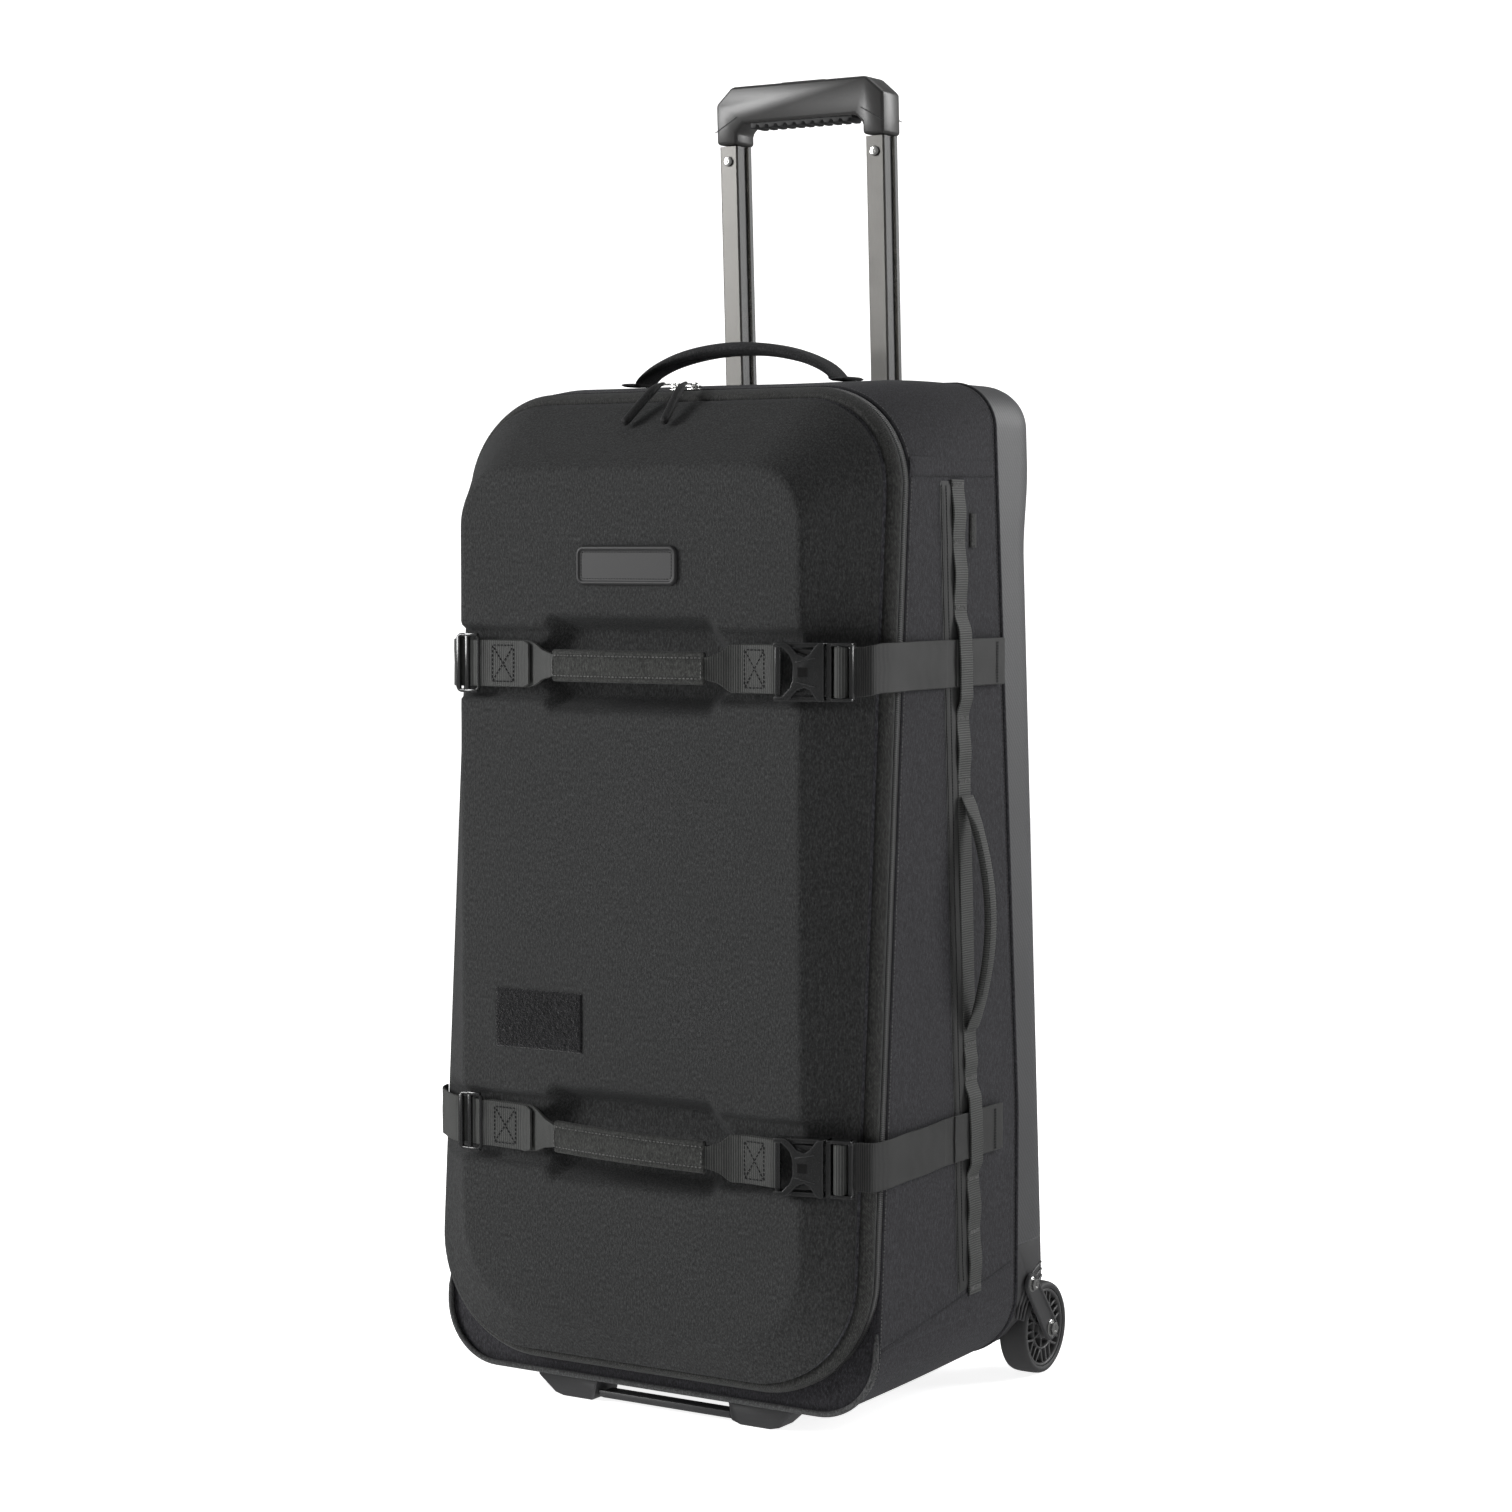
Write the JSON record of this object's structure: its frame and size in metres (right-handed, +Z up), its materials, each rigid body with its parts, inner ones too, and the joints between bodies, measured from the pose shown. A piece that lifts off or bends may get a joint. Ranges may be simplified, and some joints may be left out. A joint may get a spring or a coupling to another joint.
{
  "type": "wheeled equipment case",
  "caption": "Upright wheeled equipment case with moulded zip lid, fabric side wall, hard back shell, straps with buckles, extending pull handle and web wheels.",
  "frame": {"origin": "on the floor, at the bottom centre of the bounding box", "axes": "+Z up, -Y towards the lid (front), +Y towards the back shell and wheels, +X towards the side with the carrying handle"},
  "size_m": [0.443, 0.3962, 1.0905],
  "materials": {
    "shell_fabric": "tight plain weave over moulded foam, matt",
    "case_fabric": "ballistic weave, matt",
    "moulded_back": "fine diagonal hatch texture",
    "piping": "woven piping",
    "webbing": "ribbed nylon webbing",
    "binding_tape": "twill binding and zipper tape",
    "handle_fabric": "padded, plain weave",
    "grip_pad": "rolled padded sleeve",
    "moulded_black": "fine grain moulded",
    "buckle_plastic": "semi-gloss acetal",
    "steel": "bright nickel and zinc",
    "tube_metal": "dark anodised",
    "bar_satin": "satin face with black sides",
    "grip_rubber": "ribbed soft rubber",
    "tyre": "matt polyurethane tyre",
    "lining": "grey lining cloth",
    "badge_rubber": "moulded rubber, blank",
    "loop_pile": "loop pile",
    "pull_cord": "coated cord"
  },
  "bodies": {
    "case": {"back_shell": "moulded_back", "gusset_wall": "case_fabric", "front_lower_panel": "case_fabric", "front_piping": "piping", "rear_piping": "piping", "zipper_tape_body": "binding_tape", "base_foot": "moulded_black", "foot_grip_bar": "moulded_black", "wheel_housing_left": "moulded_black", "wheel_housing_right": "moulded_black", "wheel_arm_left": "moulded_black", "wheel_arm_right": "moulded_black", "axle_left": "steel", "axle_right": "steel", "arm_bolt_left": "steel", "arm_bolt_right": "steel", "outer_tube_left": "tube_metal", "outer_tube_right": "tube_metal", "handle_bezel": "moulded_black", "tube_bottom_bracket": "moulded_black", "lining_panel": "lining", "rear_top_trim": "moulded_black", "top_handle": "handle_fabric", "side_daisy_strip": "webbing", "side_handle": "webbing", "side_strap_upper_right": "webbing", "side_strap_lower_right": "webbing", "side_strap_upper_left": "webbing", "side_strap_lower_left": "webbing", "buckle_male_upper": "buckle_plastic", "buckle_male_lower": "buckle_plastic", "side_tag": "webbing"},
    "lid": {"lid_shell": "shell_fabric", "lid_binding": "binding_tape", "zipper_tape_lid": "binding_tape", "badge": "badge_rubber", "loop_patch": "loop_pile", "handle_strap_upper": "webbing", "handle_strap_lower": "webbing", "grip_sleeve_upper": "grip_pad", "grip_sleeve_lower": "grip_pad", "buckle_female_upper": "buckle_plastic", "buckle_female_lower": "buckle_plastic", "ladder_lock_upper": "buckle_plastic", "ladder_lock_lower": "buckle_plastic"},
    "pull_handle": {"handle_bar_left": "bar_satin", "handle_bar_right": "bar_satin", "handle_grip": "bar_satin", "grip_rubber": "grip_rubber", "grip_screw_left": "steel", "grip_screw_right": "steel"},
    "button": {"release_button": "moulded_black"},
    "wheel_left": {"tyre_left": "tyre", "wheel_rim_left": "moulded_black"},
    "wheel_right": {"tyre_right": "tyre", "wheel_rim_right": "moulded_black"},
    "slider_left": {"zipper_slider_left": "steel"},
    "slider_right": {"zipper_slider_right": "steel"},
    "pull_left": {"zipper_pull_left": "pull_cord"},
    "pull_right": {"zipper_pull_right": "pull_cord"}
  },
  "joints": [
    {"name": "lid_hinge", "type": "hinge", "parent": "case", "child": "lid", "pos_m": [-0.2145, -0.1137, 0.4], "axis": [0, -0.0678, -0.9977], "range_deg": [0, 110]},
    {"name": "pull_handle_slide", "type": "slide", "parent": "case", "child": "pull_handle", "axis": [0, -0.045, 0.999], "range_m": [-0.19, 0]},
    {"name": "release_button_press", "type": "slide", "parent": "pull_handle", "child": "button", "axis": [0, 0, 1], "range_m": [-0.0035, 0], "stiffness_N_per_m": 500, "springref_m": 0.002},
    {"name": "wheel_left_spin", "type": "hinge", "parent": "case", "child": "wheel_left", "pos_m": [-0.1995, 0.1591, 0.039], "axis": [1, 0, 0], "continuous": true},
    {"name": "wheel_right_spin", "type": "hinge", "parent": "case", "child": "wheel_right", "pos_m": [0.1805, 0.1591, 0.039], "axis": [1, 0, 0], "continuous": true},
    {"name": "zipper_slider_left_slide", "type": "slide", "parent": "lid", "child": "slider_left", "axis": [1, 0, 0], "range_m": [-0.1, 0]},
    {"name": "zipper_slider_right_slide", "type": "slide", "parent": "lid", "child": "slider_right", "axis": [1, 0, 0], "range_m": [0, 0.1]},
    {"name": "zipper_pull_left_swing", "type": "hinge", "parent": "slider_left", "child": "pull_left", "pos_m": [-0.0175, -0.094, 0.8286], "axis": [-1, 0, 0], "range_deg": [0, 150]},
    {"name": "zipper_pull_right_swing", "type": "hinge", "parent": "slider_right", "child": "pull_right", "pos_m": [-0.0015, -0.094, 0.8286], "axis": [-1, 0, 0], "range_deg": [0, 150]}
  ]
}
